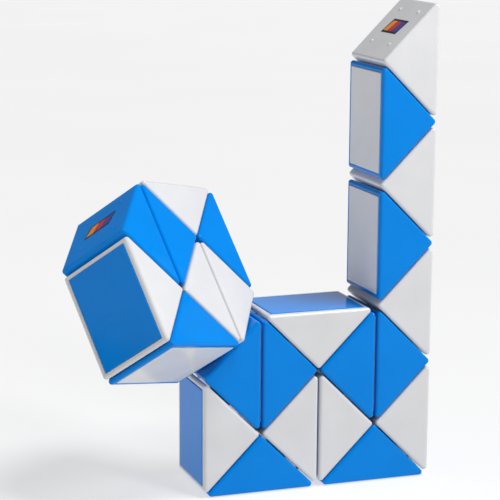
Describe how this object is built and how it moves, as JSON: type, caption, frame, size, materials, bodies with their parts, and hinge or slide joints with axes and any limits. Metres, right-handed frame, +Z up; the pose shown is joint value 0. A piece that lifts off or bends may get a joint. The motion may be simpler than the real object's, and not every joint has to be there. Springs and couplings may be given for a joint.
{
  "type": "twisty snake puzzle",
  "caption": "Folding snake puzzle: a chain of white and blue triangular prism wedges, each turning on the next, folded into a tall standing figure with a hexagonal head.",
  "frame": {"origin": "centre of the bounding box in plan, on the surface the folded puzzle stands on", "axes": "+Z up, along the column of stacked wedges and the longest extent; +X towards the column side of the folded figure, with the hexagonal head at -X; +Y away from the viewer, across the wedges, the shortest extent"},
  "size_m": [0.0958, 0.0634, 0.1229],
  "materials": {
    "white_shell": "gloss",
    "blue_shell": "gloss",
    "white_cap": "gloss",
    "blue_cap": "gloss",
    "steel": "satin"
  },
  "bodies": {
    "wedge_01": {"shell_01": "white_shell", "cap_01": "blue_cap", "pivot_01": "steel"},
    "wedge_02": {"shell_02": "blue_shell", "cap_02": "white_cap"},
    "wedge_03": {"shell_03": "white_shell", "cap_03": "blue_cap", "pivot_03": "steel"},
    "wedge_04": {"shell_04": "blue_shell", "cap_04": "white_cap"},
    "wedge_05": {"shell_05": "white_shell", "cap_05": "blue_cap", "pivot_05": "steel"},
    "wedge_06": {"shell_06": "blue_shell", "cap_06": "white_cap"},
    "wedge_07": {"shell_07": "white_shell", "cap_07": "blue_cap", "pivot_07": "steel"},
    "wedge_08": {"shell_08": "blue_shell", "cap_08": "white_cap"},
    "wedge_09": {"shell_09": "white_shell", "cap_09": "blue_cap", "pivot_09": "steel"},
    "wedge_10": {"shell_10": "blue_shell", "cap_10": "white_cap"},
    "wedge_11": {"shell_11": "white_shell", "cap_11": "blue_cap", "pivot_11": "steel"},
    "wedge_12": {"shell_12": "blue_shell", "cap_12": "white_cap"},
    "wedge_13": {"shell_13": "white_shell", "cap_13": "blue_cap", "pivot_13": "steel"},
    "wedge_14": {"shell_14": "blue_shell", "cap_14": "white_cap"},
    "wedge_15": {"shell_15": "white_shell", "cap_15": "blue_cap", "pivot_15": "steel"},
    "wedge_16": {"shell_16": "blue_shell", "cap_16": "white_cap"},
    "wedge_17": {"shell_17": "white_shell", "cap_17": "blue_cap", "pivot_17": "steel"},
    "wedge_18": {"shell_18": "blue_shell", "cap_18": "white_cap"},
    "wedge_19": {"shell_19": "white_shell", "cap_19": "blue_cap", "pivot_19": "steel"},
    "wedge_20": {"shell_20": "blue_shell", "cap_20": "white_cap"},
    "wedge_21": {"shell_21": "white_shell", "cap_21": "blue_cap", "pivot_21": "steel"},
    "wedge_22": {"shell_22": "blue_shell", "cap_22": "white_cap"},
    "wedge_23": {"shell_23": "white_shell", "cap_23": "blue_cap", "pivot_23": "steel"},
    "wedge_24": {"shell_24": "blue_shell", "cap_24": "white_cap"}
  },
  "joints": [
    {"name": "joint_01", "type": "hinge", "parent": "wedge_02", "child": "wedge_01", "pos_m": [0.0402, 0, 0.10102], "axis": [-0.7071, 0, -0.7071], "continuous": true},
    {"name": "joint_02", "type": "hinge", "parent": "wedge_03", "child": "wedge_02", "pos_m": [0.0402, 0, 0.08546], "axis": [0.7071, 0, -0.7071], "continuous": true},
    {"name": "joint_03", "type": "hinge", "parent": "wedge_04", "child": "wedge_03", "pos_m": [0.0402, 0, 0.0699], "axis": [-0.7071, 0, -0.7071], "range_deg": [-270, 90]},
    {"name": "joint_04", "type": "hinge", "parent": "wedge_05", "child": "wedge_04", "pos_m": [0.0402, 0, 0.05435], "axis": [0.7071, 0, -0.7071], "range_deg": [-15, 15]},
    {"name": "joint_05", "type": "hinge", "parent": "wedge_06", "child": "wedge_05", "pos_m": [0.0402, 0, 0.03879], "axis": [-0.7071, 0, -0.7071], "continuous": true},
    {"name": "joint_06", "type": "hinge", "parent": "wedge_07", "child": "wedge_06", "pos_m": [0.0402, 0, 0.02323], "axis": [-0.7071, 0, 0.7071], "range_deg": [-1.5, 1.5]},
    {"name": "joint_07", "type": "hinge", "parent": "wedge_08", "child": "wedge_07", "pos_m": [0.0402, 0, 0.00768], "axis": [0.7071, 0, 0.7071], "range_deg": [-1.5, 1.5]},
    {"name": "joint_08", "type": "hinge", "parent": "wedge_09", "child": "wedge_08", "pos_m": [0.02465, 0, 0.00768], "axis": [0.7071, 0, -0.7071], "range_deg": [-1.5, 1.5]},
    {"name": "joint_09", "type": "hinge", "parent": "wedge_10", "child": "wedge_09", "pos_m": [0.02465, 0, 0.02323], "axis": [-0.7071, 0, -0.7071], "range_deg": [-1.5, 1.5]},
    {"name": "joint_10", "type": "hinge", "parent": "wedge_11", "child": "wedge_10", "pos_m": [0.02465, 0, 0.03879], "axis": [0.7071, 0, -0.7071], "range_deg": [-1.5, 1.5]},
    {"name": "joint_11", "type": "hinge", "parent": "wedge_12", "child": "wedge_11", "pos_m": [0.00909, 0, 0.03879], "axis": [0.7071, 0, 0.7071], "range_deg": [-1.5, 1.5]},
    {"name": "joint_12", "type": "hinge", "parent": "wedge_13", "child": "wedge_12", "pos_m": [0.00909, 0, 0.02323], "axis": [-0.7071, 0, 0.7071], "range_deg": [-1.5, 1.5]},
    {"name": "joint_13", "type": "hinge", "parent": "wedge_14", "child": "wedge_13", "pos_m": [0.00909, 0, 0.00768], "axis": [0.7071, 0, 0.7071], "range_deg": [-1.5, 1.5]},
    {"name": "joint_14", "type": "hinge", "parent": "wedge_14", "child": "wedge_15", "pos_m": [-0.00647, 0, 0.00768], "axis": [-0.7071, 0, 0.7071], "range_deg": [-1.5, 1.5]},
    {"name": "joint_15", "type": "hinge", "parent": "wedge_15", "child": "wedge_16", "pos_m": [-0.00647, 0, 0.02323], "axis": [0.7071, 0, 0.7071], "range_deg": [-1.5, 1.5]},
    {"name": "joint_16", "type": "hinge", "parent": "wedge_16", "child": "wedge_17", "pos_m": [-0.00647, 0, 0.03879], "axis": [-0.7071, 0, 0.7071], "continuous": true},
    {"name": "joint_17", "type": "hinge", "parent": "wedge_17", "child": "wedge_18", "pos_m": [-0.00962, 0.00884, 0.0512], "axis": [0.4206, 0.8039, 0.4206], "range_deg": [-1.5, 1.5]},
    {"name": "joint_18", "type": "hinge", "parent": "wedge_18", "child": "wedge_19", "pos_m": [-0.01277, 0.01768, 0.0636], "axis": [-0.7071, 0, 0.7071], "range_deg": [-1.5, 1.5]},
    {"name": "joint_19", "type": "hinge", "parent": "wedge_19", "child": "wedge_20", "pos_m": [-0.02517, 0.00884, 0.06675], "axis": [-0.4206, -0.8039, -0.4206], "range_deg": [-1.5, 1.5]},
    {"name": "joint_20", "type": "hinge", "parent": "wedge_20", "child": "wedge_21", "pos_m": [-0.02202, 0, 0.05435], "axis": [0.7071, 0, -0.7071], "range_deg": [-1.5, 1.5]},
    {"name": "joint_21", "type": "hinge", "parent": "wedge_21", "child": "wedge_22", "pos_m": [-0.01887, -0.00884, 0.04194], "axis": [-0.4206, -0.8039, -0.4206], "range_deg": [-1.5, 1.5]},
    {"name": "joint_22", "type": "hinge", "parent": "wedge_22", "child": "wedge_23", "pos_m": [-0.03127, -0.01768, 0.04509], "axis": [-0.7071, 0, 0.7071], "range_deg": [-1.5, 1.5]},
    {"name": "joint_23", "type": "hinge", "parent": "wedge_23", "child": "wedge_24", "pos_m": [-0.03443, -0.00884, 0.0575], "axis": [0.4206, 0.8039, 0.4206], "range_deg": [-1.5, 1.5]}
  ]
}
